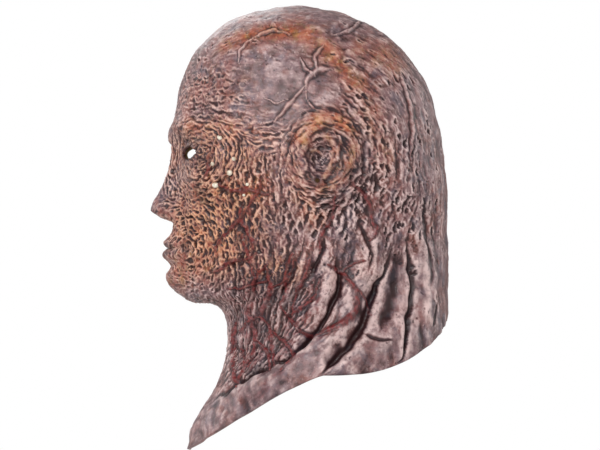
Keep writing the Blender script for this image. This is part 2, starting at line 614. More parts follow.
def laidOut(turn, row):
    # the outside's points with the lie of the skin, strayed copies and each zone's share
    x, y, drop = (v.ravel() for v in formPlaces(turn, row))
    places = np.stack([x, y, drop], axis=-1)
    normals = castNormals(turn, row).reshape(-1, 3) * (1, 1, -1)
    right, wide = x < 0, strayed(places, 30, 3.0, 11)
    fine = strayed(places, 5.5, 1.5, 16)
    at = SimpleNamespace(
        x=x, y=y, drop=drop, places=places, right=right, wide=wide,
        fine=fine + 0.45 * (strayed(places, 2.2, 1.0, 19) - places),
        along=lieOfSkin(places, normals), side=ease(np.abs(x), 12, 34),
        earSide=ease(np.abs(x), 50, 65), dark=np.zeros(len(y)), shade=np.zeros(len(y)),
        shiftY=wide[:, 1] + 2.5 * right * softNoise(places, 45, 15),
        shiftD=wide[:, 2] + 4.0 * right * softNoise(places, 45, 14))
    at.cells, at.strands, at.smooth, at.neck, bigCells, at.shaded = (
        zoneShare(at.shiftY, at.shiftD, skin[name + "Zones"])
        for name in ("cell", "strand", "smooth", "sinew", "bigCell", "shade"))
    at.band = ease(drop - np.interp(y, *skin["bandTop"]), -1, 3) * (1 - ease(y, 18, 34))
    at.rough = (1 - 0.8 * at.smooth) * (1 - 0.93 * at.band)
    at.bigCells = np.clip(bigCells * at.rough, 0, 1)
    at.anyCells = np.maximum(at.cells, at.bigCells)
    print("  zones laid out")
    return at


def combStrands(at):
    at.relief = skin["swell"] * layeredNoise(at.places, 34, 21, 3) * (1 - 0.3 * at.band)
    crumple = layeredNoise(strayed(at.places, 20, 6.0, 25), 15, 28, 2)
    at.relief += skin["crumple"] * crumple * np.clip(at.band + 0.6 * at.smooth, 0, 1)
    at.strand = combed(at.fine, at.along, 3.6, 9.0, 22)
    fine = combed(at.fine, at.along, 1.8, 4.0, 23, 3)
    at.sinew = combed(at.wide, at.along, 7.5, 20.0, 24, 4)
    at.ridges = np.clip(1 - np.abs(at.strand) * 1.6, -1, 1)
    at.strandMask = np.clip(0.13 + at.strands, 0, 1) * at.rough
    at.relief += (skin["strand"] * at.ridges + skin["fine"] * fine) * at.strandMask
    sinewShare = (at.neck + 0.25 * at.side * (at.y > 40)) * (1 - at.band)
    at.relief += skin["sinew"] * np.clip(at.sinew, -1.2, 1.2) * sinewShare
    at.relief += skin["finest"] * fine * (1 - 0.6 * at.band) * (1 - 0.75 * at.smooth)
    print("  strands combed")


def openPits(at):
    small = np.clip(at.cells * at.rough, 0, 1)
    at.opened = np.maximum(openCells(at.bigCells, at.fine, at.along, 7.2, 2.0, 31),
                           openCells(small, at.fine, at.along, 4.6, 2.0, 32))
    at.relief -= skin["cell"] * at.opened
    print("  cells opened")
    clumps = ease(layeredNoise(at.places, 26, 17, 2), -0.45, 0.55)
    sparse = (0.06 + 0.45 * at.anyCells + 0.30 * ease(at.y, 25, 60)
              * (1 - ease(at.drop, 205, 235))) * (0.25 + 1.2 * clumps)
    sparse = np.clip(sparse * (0.35 + 0.65 * at.rough) * (1 - at.band), 0, 0.75)
    near, _, lot = spotsWhere(sparse, at.fine, at.along, 5.6, 2.4, 41, True)
    reach = 0.16 + 0.5 * lot
    at.dashes = 1 - ease(near, 0.3 * reach, reach + 0.1)
    at.relief += -skin["dash"] * at.dashes + 0.3 * bell(near - reach - 0.16, 0.12) * (near < 1)
    tiny = np.clip(0.10 * at.rough + 0.06, 0, 1) * (1 - at.band)
    near, _, _ = spotsWhere(tiny, at.fine, at.along, 3.0, 1.8, 42, True)
    at.specks = 1 - ease(near, 0.08, 0.36)
    at.relief -= skin["speck"] * at.specks


def foldEars(at):
    y, drop = (v + 2.6 * softNoise(at.places, 11, seed) for v, seed in ((at.y, 71), (at.drop, 72)))
    broken = 0.75 + 0.5 * softNoise(at.places, 10, 75)
    at.fromBowl = np.hypot(y - skin["earBowl"][0], drop - skin["earBowl"][1])
    at.relief -= skin["earBowlDeep"] * at.earSide * bell(at.fromBowl, 15)
    at.earFold, at.earWarm = np.zeros(len(y)), np.zeros(len(y))
    for line, height, width in skin["earFolds"]:
        gap, share = lineDistance(y, drop, smoothLine(line))
        taper = ease(share, 0, 0.18) * (1 - ease(share, 0.75, 1)) * at.earSide * broken
        groove = bell(gap - 2.0 * width, 0.6 * width)
        groove = groove * ease(softNoise(at.places, 8, 74), -0.5, 0.4)
        at.relief += taper * height * (0.85 * bell(gap, width) - 0.3 * groove)
        at.earFold = np.maximum(at.earFold, taper * groove)
        at.earWarm = np.maximum(at.earWarm, 0.8 * taper * bell(gap, width * 1.3)
                                * (at.y + 20 > at.drop - 100))


def pressFolds(at):
    bendY, bendD = (0.5 * (shifted + plain) + 1.5 * softNoise(at.places, 12, seed)
                    for shifted, plain, seed in ((at.shiftY, at.y, 81), (at.shiftD, at.drop, 82)))
    uneven = 0.75 + 0.45 * softNoise(at.places, 16, 83)
    for line, depth, width, strength in skin["creases"]:
        gap, share = lineDistance(bendY, bendD, smoothLine(line))
        taper = ease(share, 0.0, 0.3) * (1 - ease(share, 0.8, 1.0)) * at.side
        width = width * (0.45 + 0.75 * taper) * uneven
        at.relief += -depth * bell(gap, width) * taper
        at.relief += 0.22 * depth * bell(gap - 3.2 * width, 2.2 * width) * taper
        at.dark = np.maximum(at.dark, 0.8 * strength * bell(gap, width * 0.8) * taper)
        at.shade = np.maximum(at.shade, 0.5 * strength * bell(gap, width * 3.2) * taper)
    for line, height, width in skin["rolls"]:
        gap, share = lineDistance(bendY, bendD, smoothLine(line))
        taper = ease(share, 0, 0.3) * (1 - ease(share, 0.75, 1)) * at.side
        at.relief += height * bell(gap, width) * taper
    for line, depth, width in skin["hollows"]:
        gap, _ = lineDistance(bendY, bendD, smoothLine(line))
        at.relief -= depth * bell(gap, width) * at.side
        at.shade = np.maximum(at.shade, 0.6 * bell(gap, width) * at.side)
    print("  folds pressed in")


def layVeins(at):
    y, drop = (plain + 1.3 * softNoise(at.places, 6, near)
               + 4.0 * at.right * softNoise(at.places, 40, far)
               for plain, near, far in ((at.y, 51, 53), (at.drop, 52, 54)))
    plump = 1.0 + 0.4 * softNoise(at.places, 9, 55)
    broken = ease(softNoise(at.places, 14, 58), -0.95, -0.4)
    outward = np.abs(at.x) > 25
    blood = np.zeros(len(y))
    for line, width in (*skin["veins"], *faceVeins()):
        gap, share = lineDistance(y, drop, smoothLine(line))
        width = width * (0.4 + 0.8 * np.sin(np.pi * share)) * plump
        furrow = 0.35 * bell(gap - 2.3 * width, 0.8 * width)
        at.relief += (skin["vein"] * bell(gap, width) - furrow) * outward
        blood = np.maximum(blood, ease(bell(gap, width * 1.75), 0.15, 0.65) * outward * broken)
    at.blood = blood * (0.35 + 0.65 * ease(at.drop + 0.4 * softNoise(at.places, 20, 56), 105, 145))
    print("  veins laid")


def layGlazes(at):
    warm = np.zeros(len(at.y))
    for line, width, strength in skin["glazes"]:
        gap, _ = lineDistance(at.shiftY, at.shiftD, line)
        warm = np.maximum(warm, strength * bell(gap, width * 1.15))
    at.warm = np.maximum(warm * (1.0 + 0.4 * layeredNoise(at.places, 9, 61, 2)), at.earWarm)


def deepenPaint(at, row, nearHole):
    # soft shade in the hollows and a dark wash in the pits
    eyeAway = np.hypot(np.abs(at.x) - head["eye"][0] - 4, (at.drop - head["eye"][1]) * 1.3)
    hemAway = (lastRow - row.ravel()) * 21
    fromCanal = np.hypot(at.y - skin["earCanal"][0], at.drop - skin["earCanal"][1])
    at.shade = np.maximum.reduce([
        at.shade, 0.5 * at.shaded, 0.55 * at.earSide * bell(at.fromBowl, 12),
        0.8 * bell(eyeAway, skin["eyeShade"]) * (at.y < -40),
        0.7 * bell(hemAway, 5) * ease(softNoise(at.places, 14, 84), -0.6, 0.5)])
    blots = ease(-layeredNoise(at.fine, 12, 85, 3), 0.25, 0.75)
    at.dark = np.maximum.reduce([
        at.dark, 0.8 * bell(nearHole, 1.6), 0.75 * at.earFold, 0.9 * at.dashes, 0.45 * at.specks,
        0.95 * at.earSide * bell(fromCanal, 4.5), 0.85 * ease(at.opened, 0.35, 1.0),
        0.8 * ease(-at.ridges, -0.3, 0.6) * at.strandMask,
        0.75 * ease(-at.sinew, 0.0, 0.7) * at.neck,
        0.55 * blots * (0.35 + 0.65 * np.maximum(at.cells, at.strands)) * (1 - at.smooth)])


def paintMasks(at, shape):
    field, dark, shade, blood, earWarm = (
        v.reshape(shape) for v in (at.relief, at.dark, at.shade, at.blood, at.earWarm))
    tight, wide = field - gridBlur(field, 2), field - gridBlur(field, 8)
    cavity = np.clip(-tight * 1.7 - wide * 0.65, 0, 1)
    high = np.clip(tight * 1.8 + wide * 0.35, 0, 1)
    reds = ease(at.sinew + 0.5 * at.strand, -0.2, 0.6)
    reds = reds * np.clip(1.3 * at.neck + 0.45 * at.strands, 0, 1)
    reds = np.maximum(reds, 0.9 * ease(layeredNoise(at.places, 13, 57, 2), 0.1, 0.7)
                      * np.clip(1.3 * at.anyCells, 0, 1))
    gloom = ease(layeredNoise(at.places, 22, 59, 3), -0.1, 0.6) * (1 - 0.7 * at.band)
    gloom = gloom * np.clip(0.25 + 0.75 * np.maximum(at.anyCells, at.strands), 0, 1)
    texture = np.clip(np.maximum(at.cells, at.strands), 0, 1) * (1 - ease(at.drop, 222, 242))
    flat = {
        "warm": np.clip(at.warm, 0, 1),
        "blood": np.clip(np.maximum(at.blood, 0.6 * reds), 0, 1),
        "smooth": np.clip(np.maximum(0.8 * at.band, 0.8 * at.smooth), 0, 1),
        "texture": texture * (1 - 0.75 * ease(at.y, 2, 26)),
    }
    return {
        "wash": np.clip((cavity + dark) * (1 - 0.65 * blood), 0, 1),
        "shade": np.clip(shade + 0.3 * ease(-wide, 0.3, 2.2) + 0.65 * gloom.reshape(shape), 0, 1),
        "highs": np.clip(high * (1 - 0.8 * dark) * (1 - 0.6 * shade) * (1 - 0.5 * earWarm), 0, 1),
        **{name: values.reshape(shape) for name, values in flat.items()},
    }


def sculpt(turn, row, nearHole):
    # relief in mm over the plain cast, and the masks that the paint follows
    at = laidOut(turn, row)
    combStrands(at)
    openPits(at)
    at.relief += skin["holeLip"] * bell(nearHole, 2.2)
    foldEars(at)
    pressFolds(at)
    layVeins(at)
    layGlazes(at)
    deepenPaint(at, row, nearHole)
    return at.relief.reshape(turn.shape), paintMasks(at, turn.shape)


def skinFaces(gone):
    # the outside's squares, the triangles round the crown, and the open edges of both
    height, width = gone.shape
    count = height * width
    corner = np.arange(count).reshape(height, width)
    beside = np.roll(corner, -1, axis=1)
    quads = np.stack([corner[:-1], corner[1:], beside[1:], beside[:-1]], axis=-1)
    lost = gone[:-1] | gone[1:]
    lost |= np.roll(lost, -1, axis=1)
    quads = quads[~lost]
    ring = np.arange(width)
    caps = np.stack([np.full(width, count), ring, np.roll(ring, -1)], axis=-1)
    edges = np.concatenate([np.stack([quads[:, k], quads[:, (k + 1) % 4]], -1) for k in range(4)]
                           + [np.stack([caps[:, 1], caps[:, 2]], -1)])
    total = count + 1
    forward, backward = edges[:, 0] * total + edges[:, 1], edges[:, 1] * total + edges[:, 0]
    return quads, caps, edges[~np.isin(forward, backward)], lost


def bakeCorners(base, lost, rimCount):
    # the map for baking: the outside above, the inside in a strip below, the rims between them
    height, width = base.shape[:2]
    steps = np.linalg.norm(np.diff(base[:, width // 4], axis=0), axis=1)
    down = np.concatenate([[0], np.cumsum(steps)])
    u, v = np.arange(width + 1) / width, 1 - down / down[-1]
    grid = np.stack([np.broadcast_to(u, (height, width + 1)),
                     np.broadcast_to(v[:, None], (height, width + 1))], axis=-1)
    flat = np.stack([grid[:-1, :-1], grid[1:, :-1], grid[1:, 1:], grid[:-1, 1:]], axis=2)[~lost]
    capFlat = np.stack([np.stack([u[:-1] + 0.5 / width, np.full(width, 1.004)], -1),
                        grid[0, :-1], grid[0, 1:]], axis=1)
    rimU = np.arange(rimCount) / rimCount
    rimFlat = np.stack([np.stack([rimU + across / rimCount, np.full(rimCount, up)], -1)
                        for across, up in ((0.0, 0.158), (0.9, 0.158), (0.9, 0.168), (0.0, 0.168))],
                       axis=1)
    outerMap = lambda flat: flat * (0.992, 0.82) + (0.004, 0.172)
    innerMap = lambda flat: flat[:, ::-1] * (0.992, 0.148) + (0.004, 0.004)
    maps = (outerMap(flat), innerMap(flat), rimFlat, outerMap(capFlat), innerMap(capFlat))
    return np.concatenate([corners.reshape(-1, 2) for corners in maps])


def skinMesh(points, quads, caps, insideSlots):
    mesh = bpy.data.meshes.new("castSkin")
    mesh.vertices.add(len(points))
    mesh.vertices.foreach_set("co", points.ravel().astype(np.float32))
    loops = np.concatenate([quads.ravel(), caps.ravel()])
    starts = np.concatenate([np.arange(len(quads)) * 4,
                             len(quads) * 4 + np.arange(len(caps)) * 3])
    mesh.loops.add(len(loops))
    mesh.loops.foreach_set("vertex_index", loops.astype(np.int32))
    mesh.polygons.add(len(starts))
    mesh.polygons.foreach_set("loop_start", starts.astype(np.int32))
    mesh.polygons.foreach_set("material_index", insideSlots)
    mesh.update(calc_edges=True)
    mesh.shade_smooth()
    return mesh


def makeSkin():
    print("skin: casting")
    spread = np.linspace(-np.pi, np.pi, skin["columns"], endpoint=False)
    turns = spread - skin["crowding"] * np.sin(spread)
    rows = np.concatenate([np.linspace(a, b, n, endpoint=False) for a, b, n in skin["rowRuns"]]
                          + [[lastRow]])
    turn, row = (a.copy() for a in np.broadcast_arrays(turns[None, :], rows[:, None]))
    gone, nearHole = cutHoles(turn, row)
    relief, masks = sculpt(turn, row, nearHole.ravel())
    fitted = liningMask(turn, row)
    deepest = -skin["deepFitted"] * fitted - skin["deepFree"] * (1 - fitted)
    outside = np.where(fitted > 0, np.maximum(relief, deepest), relief)
    evened = np.clip(gridBlur(relief, 5), -6.0 * (1 - fitted) - 0.4, 5.0 * (1 - fitted) + 0.3)
    wall = lining["wall"] / mm
    inside = np.minimum(evened, outside + wall - 0.9) - wall
    base, normals = castPoints(turn, row), castNormals(turn, row)
    outer, inner = (base + normals * field[..., None] * mm for field in (outside, inside))

    quads, caps, open_, lost = skinFaces(gone)
    total = turn.size + 1
    rims = np.stack([open_[:, 1], open_[:, 0], open_[:, 0] + total, open_[:, 1] + total], -1)
    top, topIn = (np.array([[0, 0, head["crownTop"] * mm + field[0].mean() * mm]])
                  for field in (outside, inside))
    points = np.vstack([outer.reshape(-1, 3), top, inner.reshape(-1, 3), topIn])
    allQuads = np.vstack([quads, quads[:, ::-1] + total, rims])
    allCaps = np.vstack([caps, caps[:, ::-1] + total])
    used = np.unique(np.concatenate([allQuads.ravel(), allCaps.ravel()]))
    renumber = np.full(2 * total, -1)
    renumber[used] = np.arange(len(used))
    slots = np.zeros(len(allQuads) + len(allCaps), np.int32)
    slots[len(quads):2 * len(quads)] = 1
    slots[len(allQuads) + len(caps):] = 1
    mesh = skinMesh(points[used], renumber[allQuads], renumber[allCaps], slots)
    for name, field in masks.items():
        values = np.concatenate([field.ravel(), [field[0].mean()], np.zeros(total)])[used]
        stored = mesh.attributes.new(name, "FLOAT", "POINT")
        stored.data.foreach_set("value", values.astype(np.float32))
    print("  skin has", len(used), "vertices")
    corners = bakeCorners(base, lost, len(rims))
    mesh.uv_layers.new(name="OFBake").data.foreach_set("uv", corners.ravel().astype(np.float32))
    made = bpy.data.objects.new("cast_skin", mesh)
    bpy.context.scene.collection.objects.link(made)
    surface = {"points": outer.reshape(-1, 3), "normals": normals.reshape(-1, 3),
               "form": np.stack([v.ravel() for v in formPlaces(turn, row)], axis=-1)}
    return made, surface


def colour(red, green, blue):
    # a paint chip's 0 to 255 values as the linear light that Blender wants
    parts = [v / 255 for v in (red, green, blue)]
    return (*(v / 12.92 if v < 0.04045 else ((v + 0.055) / 1.055) ** 2.4 for v in parts), 1.0)


def newGroup(name, inputs, outputs):
    group = bpy.data.node_groups.new(name, "ShaderNodeTree")
    for label, kind, value in inputs:
        socket = group.interface.new_socket(label, in_out="INPUT", socket_type=kind)
        socket.default_value = value
    for label, kind in outputs:
        group.interface.new_socket(label, in_out="OUTPUT", socket_type=kind)
    return group, group.nodes.new("NodeGroupInput"), group.nodes.new("NodeGroupOutput")


def makeBlotchGroup():
    group, given, result = newGroup(
        "paintBlotches",
        [("Scale", "NodeSocketFloat", 40.0), ("Detail", "NodeSocketFloat", 5.0),
         ("Low", "NodeSocketFloat", 0.4), ("High", "NodeSocketFloat", 0.6)],
        [("Mask", "NodeSocketFloat")])
    place = group.nodes.new("ShaderNodeTexCoord")
    noise = group.nodes.new("ShaderNodeTexNoise")
    noise.inputs["Roughness"].default_value = 0.62
    spread = group.nodes.new("ShaderNodeMapRange")
    spread.interpolation_type = "SMOOTHSTEP"
    join = group.links.new
    join(place.outputs["Object"], noise.inputs["Vector"])
    join(given.outputs["Scale"], noise.inputs["Scale"])
    join(given.outputs["Detail"], noise.inputs["Detail"])
    join(noise.outputs["Fac"], spread.inputs["Value"])
    join(given.outputs["Low"], spread.inputs["From Min"])
    join(given.outputs["High"], spread.inputs["From Max"])
    join(spread.outputs["Result"], result.inputs["Mask"])
    return group


def makeGrainGroup():
    group, given, result = newGroup(
        "latexGrain",
        [("Pore Scale", "NodeSocketFloat", 900.0), ("Crinkle Scale", "NodeSocketFloat", 300.0),
         ("Crinkle", "NodeSocketFloat", 0.6)],
        [("Height", "NodeSocketFloat")])
    place = group.nodes.new("ShaderNodeTexCoord")
    pores = group.nodes.new("ShaderNodeTexVoronoi")
    crinkle = group.nodes.new("ShaderNodeTexNoise")
    crinkle.inputs["Detail"].default_value = 4.0
    both = group.nodes.new("ShaderNodeMix")
    both.data_type = "FLOAT"
    join = group.links.new
    join(place.outputs["Object"], pores.inputs["Vector"])
    join(place.outputs["Object"], crinkle.inputs["Vector"])
    join(given.outputs["Pore Scale"], pores.inputs["Scale"])
    join(given.outputs["Crinkle Scale"], crinkle.inputs["Scale"])
    join(given.outputs["Crinkle"], both.inputs["Factor"])
    join(pores.outputs["Distance"], both.inputs["A"])
    join(crinkle.outputs["Fac"], both.inputs["B"])
    join(both.outputs["Result"], result.inputs["Height"])
    return group


blotchGroup, grainGroup = makeBlotchGroup(), makeGrainGroup()


class PaintPot:
    # one material's node tree with the few node kinds that the finishes use
    def __init__(self, name):
        self.material = bpy.data.materials.new(name)
        self.material.use_nodes = True
        self.nodes = self.material.node_tree.nodes
        self.join = self.material.node_tree.links.new
        self.shader = self.nodes["Principled BSDF"]

    def blotches(self, scale, low, high, detail=5.0):
        made = self.nodes.new("ShaderNodeGroup")
        made.node_tree = blotchGroup
        for name, value in (("Scale", scale), ("Low", low), ("High", high), ("Detail", detail)):
            made.inputs[name].default_value = value
        return made.outputs["Mask"]

    def painted(self, name):
        made = self.nodes.new("ShaderNodeAttribute")
        made.attribute_name = name
        return made.outputs["Fac"]

    def maths(self, kind, first, second):
        made = self.nodes.new("ShaderNodeMath")
        made.operation, made.use_clamp = kind, True
        for socket, value in zip(made.inputs, (first, second)):
            if isinstance(value, (int, float)):
                socket.default_value = value
            else:
                self.join(value, socket)
        return made.outputs["Value"]

    def mix(self, share, under, over, way="MIX"):
        made = self.nodes.new("ShaderNodeMix")
        made.data_type, made.blend_type = "RGBA", way
        for socket, value in ((made.inputs[0], share), (made.inputs[6], under),
                              (made.inputs[7], over)):
            if isinstance(value, (int, float, tuple)):
                socket.default_value = value
            else:
                self.join(value, socket)
        return made.outputs[2]

    def layer(self, base, share, strength, over):
        # one more coat where the share says, thinned by the strength
        return self.mix(self.maths("MULTIPLY", share, strength), base, over)

    def grain(self, pores, crinkles, share, strength, depth):
        made = self.nodes.new("ShaderNodeGroup")
        made.node_tree = grainGroup
        made.inputs["Pore Scale"].default_value = pores
        made.inputs["Crinkle Scale"].default_value = crinkles
        made.inputs["Crinkle"].default_value = share
        bump = self.nodes.new("ShaderNodeBump")
        bump.inputs["Strength"].default_value = strength
        bump.inputs["Distance"].default_value = depth
        self.join(made.outputs["Height"], bump.inputs["Height"])
        self.join(bump.outputs["Normal"], self.shader.inputs["Normal"])
        return made.outputs["Height"]

    def finish(self, base, roughness):
        for socket, value in (("Base Color", base), ("Roughness", roughness)):
            if isinstance(value, (int, float, tuple)):
                self.shader.inputs[socket].default_value = value
            else:
                self.join(value, self.shader.inputs[socket])
        return self.material


skinPaint = {
    "mauve": colour(132, 97, 100), "rose": colour(150, 96, 90), "lilac": colour(102, 84, 95),
    "umber": colour(82, 46, 40), "orange": colour(184, 88, 44), "ochre": colour(184, 128, 66),
    "blood": colour(122, 22, 24), "bloodDeep": colour(70, 12, 18), "wash": colour(42, 13, 14),
    "washBlue": colour(30, 18, 30), "cream": colour(238, 208, 204),
    "bandPale": colour(158, 134, 137), "rust": colour(140, 72, 50),
    "creamWarm": colour(234, 172, 130), "shade": colour(64, 30, 40), "roughness": (0.28, 0.5),
}


def makeSkinPaint():
    pot = PaintPot("paintedLatexOutside")
    paint = skinPaint
    base = pot.mix(pot.blotches(30, 0.40, 0.60), paint["mauve"], paint["rose"])
    base = pot.mix(pot.blotches(55, 0.48, 0.62), base, paint["lilac"])
    base = pot.layer(base, pot.blotches(85, 0.50, 0.64), 0.75, paint["umber"])
    base = pot.layer(base, pot.painted("smooth"), 0.5, paint["bandPale"])
    warm = pot.maths("MULTIPLY", pot.painted("warm"), pot.blotches(90, 0.26, 0.44))
    glaze = pot.mix(pot.blotches(150, 0.46, 0.62), paint["orange"], paint["ochre"])
    base = pot.mix(warm, base, glaze)
    tan = pot.maths("MULTIPLY", pot.painted("texture"), pot.blotches(170, 0.48, 0.62))
    base = pot.layer(base, tan, 0.6, glaze)
    base = pot.layer(base, pot.blotches(64, 0.52, 0.68), 0.5, paint["rust"])
    base = pot.layer(base, pot.blotches(460, 0.54, 0.68, 3.0), 0.6, paint["umber"])
    base = pot.layer(base, pot.blotches(330, 0.56, 0.72, 4.0), 0.4, paint["cream"])
    base = pot.layer(base, pot.painted("shade"), 0.8, paint["shade"])
    highs = pot.maths("MULTIPLY", pot.painted("highs"), pot.blotches(240, 0.26, 0.56))
    tip = pot.mix(pot.maths("MAXIMUM", pot.painted("texture"), pot.painted("warm")),
                  paint["cream"], paint["creamWarm"])
    base = pot.layer(base, highs, 0.95, tip)
    red = pot.mix(pot.blotches(300, 0.4, 0.6), paint["blood"], paint["bloodDeep"])
    base = pot.layer(base, pot.painted("blood"), 0.92, red)
    washed = pot.mix(pot.blotches(50, 0.48, 0.64), paint["wash"], paint["washBlue"])
    base = pot.layer(base, pot.painted("wash"), 0.93, washed)
    grain = pot.grain(1300.0, 420.0, 0.65, 0.6, 0.0008)
    low, high = paint["roughness"]
    rough = pot.nodes.new("ShaderNodeMapRange")
    rough.inputs["To Min"].default_value, rough.inputs["To Max"].default_value = low, high
    pot.join(grain, rough.inputs["Value"])
    pot.shader.inputs["Specular IOR Level"].default_value = 0.5
    return pot.finish(base, rough.outputs["Result"])


innerPaint = {
    "latex": colour(196, 170, 128), "aged": colour(164, 128, 88), "stain": colour(120, 84, 74),
}


def makeInnerPaint():
    pot = PaintPot("rawLatexInside")
    base = pot.mix(pot.blotches(22, 0.42, 0.6), innerPaint["latex"], innerPaint["aged"])
    base = pot.layer(base, pot.blotches(60, 0.58, 0.7), 0.6, innerPaint["stain"])
    pot.grain(700.0, 160.0, 0.75, 0.4, 0.0008)
    return pot.finish(base, 0.6)


latexSkin, surface = makeSkin()
latexSkin.data.materials.append(makeSkinPaint())
latexSkin.data.materials.append(makeInnerPaint())
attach(latexSkin, "root")
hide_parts("latex_skin")


def linkMesh(name, points, faces, material, smooth=True):
    mesh = bpy.data.meshes.new(name)
    mesh.from_pydata([tuple(p) for p in points], [], [tuple(int(i) for i in f) for f in faces])
    mesh.materials.append(material)
    if smooth:
        mesh.shade_smooth()
    made = bpy.data.objects.new(name, mesh)
    bpy.context.scene.collection.objects.link(made)
    return made


def ringBody(rings, closeRound=False):
    # faces between rings of points, with a centre point at each end unless it closes round
    segments = len(rings[0])
    points, faces = list(np.vstack(rings)), []
    count = len(rings)
    for i in range(count if closeRound else count - 1):
        for j in range(segments):
            a, b = i * segments + j, i * segments + (j + 1) % segments
            c, d = ((i + 1) % count * segments + k for k in ((j + 1) % segments, j))
            faces.append((a, b, c, d))
    if not closeRound:
        points += [rings[0].mean(axis=0), rings[-1].mean(axis=0)]
        top = (count - 1) * segments
        faces += [((j + 1) % segments, j, len(points) - 2) for j in range(segments)]
        faces += [(top + j, top + (j + 1) % segments, len(points) - 1) for j in range(segments)]
    return points, faces


def slabBody(top, bottom):
    # two grids of points joined round their edge
    n, m = top.shape[:2]
    count = n * m
    index = np.arange(count).reshape(n, m)
    upper = np.stack([index[:-1, :-1], index[1:, :-1], index[1:, 1:], index[:-1, 1:]], -1)
    upper = upper.reshape(-1, 4)
    edge = [*index[0, :-1], *index[:-1, -1], *index[-1, :0:-1], *index[:0:-1, 0]]
    sides = [(a, b, b + count, a + count) for a, b in zip(edge, [*edge[1:], edge[0]])]
    points = [*top.reshape(-1, 3), *bottom.reshape(-1, 3)]
    return points, [*upper, *(upper[:, ::-1] + count), *sides]


def tubeBody(line, radius, sides=6):
    line = np.asarray(line)
    along = np.gradient(line, axis=0)
    along /= np.linalg.norm(along, axis=1, keepdims=True)
    helper = np.array([0.31, 0.17, 0.94])
    across = np.cross(along, helper)
    across /= np.linalg.norm(across, axis=1, keepdims=True)
    up = np.cross(along, across)
    angles = np.linspace(0, 2 * math.pi, sides, endpoint=False)
    rings = [p + radius * (np.cos(angles)[:, None] * a + np.sin(angles)[:, None] * b)
             for p, a, b in zip(line, across, up)]
    return ringBody(rings)


def gather(bodies):
    # several bodies as one set of points and faces
    points, faces = [], []
    for more, moreFaces in bodies:
        faces += [tuple(i + len(points) for i in f) for f in moreFaces]
        points += list(more)
    return points, faces


foamPaint = {
    "foam": colour(58, 58, 62), "dust": colour(92, 88, 86), "pore": colour(20, 20, 22),
    "cement": colour(176, 134, 72), "cementDark": colour(128, 86, 40),
}


def makeFoamPaint():
    pot = PaintPot("openCellFoam")
    base = pot.mix(pot.blotches(60, 0.4, 0.65), foamPaint["foam"], foamPaint["dust"])
    base = pot.layer(base, pot.blotches(900, 0.5, 0.62, 2.0), 0.75, foamPaint["pore"])
    pot.grain(850.0, 500.0, 0.25, 0.9, 0.0012)
    return pot.finish(base, 0.92)


def makeCementPaint():
    pot = PaintPot("contactCement")
    base = pot.mix(pot.blotches(90, 0.4, 0.6), foamPaint["cement"], foamPaint["cementDark"])
    pot.grain(400.0, 220.0, 0.8, 0.5, 0.0006)
    pot.shader.inputs["Coat Weight"].default_value = 0.4
    return pot.finish(base, 0.35)


def wallRing(place, half, reach, depth, angles):
    # a rounded square on the wall's inside
    squared = (np.abs(np.cos(angles)) ** 3 + np.abs(np.sin(angles)) ** 3) ** (-1 / 3)
    return underSkin(place[0] + half[0] * reach * squared * np.cos(angles),
                     place[1] + half[1] * reach * squared * np.sin(angles), depth)


def wallHalf(place, size):
    return halfReach(*place, True, size[0]), halfReach(*place, False, size[1])


pad = {
    "segments": 96,
    # reach from the middle and share of the thickness, from the glued face round to the worn one
    "profile": ((0.3, 0), (0.6, 0), (0.9, 0), (0.99, 0.0), (1.0, 0.03), (1.0, 0.12), (0.985, 0.25),
                (0.98, 0.4), (0.975, 0.55), (0.955, 0.72), (0.925, 0.86), (0.885, 0.95),
                (0.83, 0.99), (0.72, 1.0), (0.58, 1.01), (0.42, 1.02), (0.24, 1.03), (0.1, 1.03)),
    "bead": ((0.90, 0.15), (1.0, 0.12), (1.045, 0.14), (1.05, 0.35), (1.015, 0.75), (0.96, 0.97),
             (0.90, 0.9)),
    "dent": 0.35, "spring": 0.9,
    "crownSegments": 112, "crownTops": (0.15, 0.4, 0.65, 0.85, 0.97, 1.0),
    # the crown pad's rim downwards: reach and height above its flat face as a share
    "crownSides": ((0.99, 0.62), (0.985, 0.4), (0.992, 0.22), (0.985, 0.1), (0.965, 0.03),
                   (0.94, 0.002), (0.8, 0.0), (0.55, 0.0), (0.25, 0.0)),
}


def makeCrownPad(foam):
    turns = np.linspace(-math.pi, math.pi, pad["crownSegments"], endpoint=False)
    rimRow = lining["crownPadWide"] / (2 * head["rows"][1][1][0] * scale[0])
    tops = [underSkin(turns, share * rimRow, lining["wall"] + lining["glue"])
            for share in pad["crownTops"]]
    rim = tops[-1] * (1, 1, 0)
    sides = [rim * (reach, reach, 0) + (0, 0, high * lining["crownPadThick"])
             for reach, high in pad["crownSides"]]
    sides = [s for s in sides if s[:, 2].max() < tops[-1][:, 2].min()]
    made = linkMesh("foam_crown_pad", *ringBody([r[::-1] for r in (*tops, *sides)]), foam)
    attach(made, "root")
    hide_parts("crown_pad")


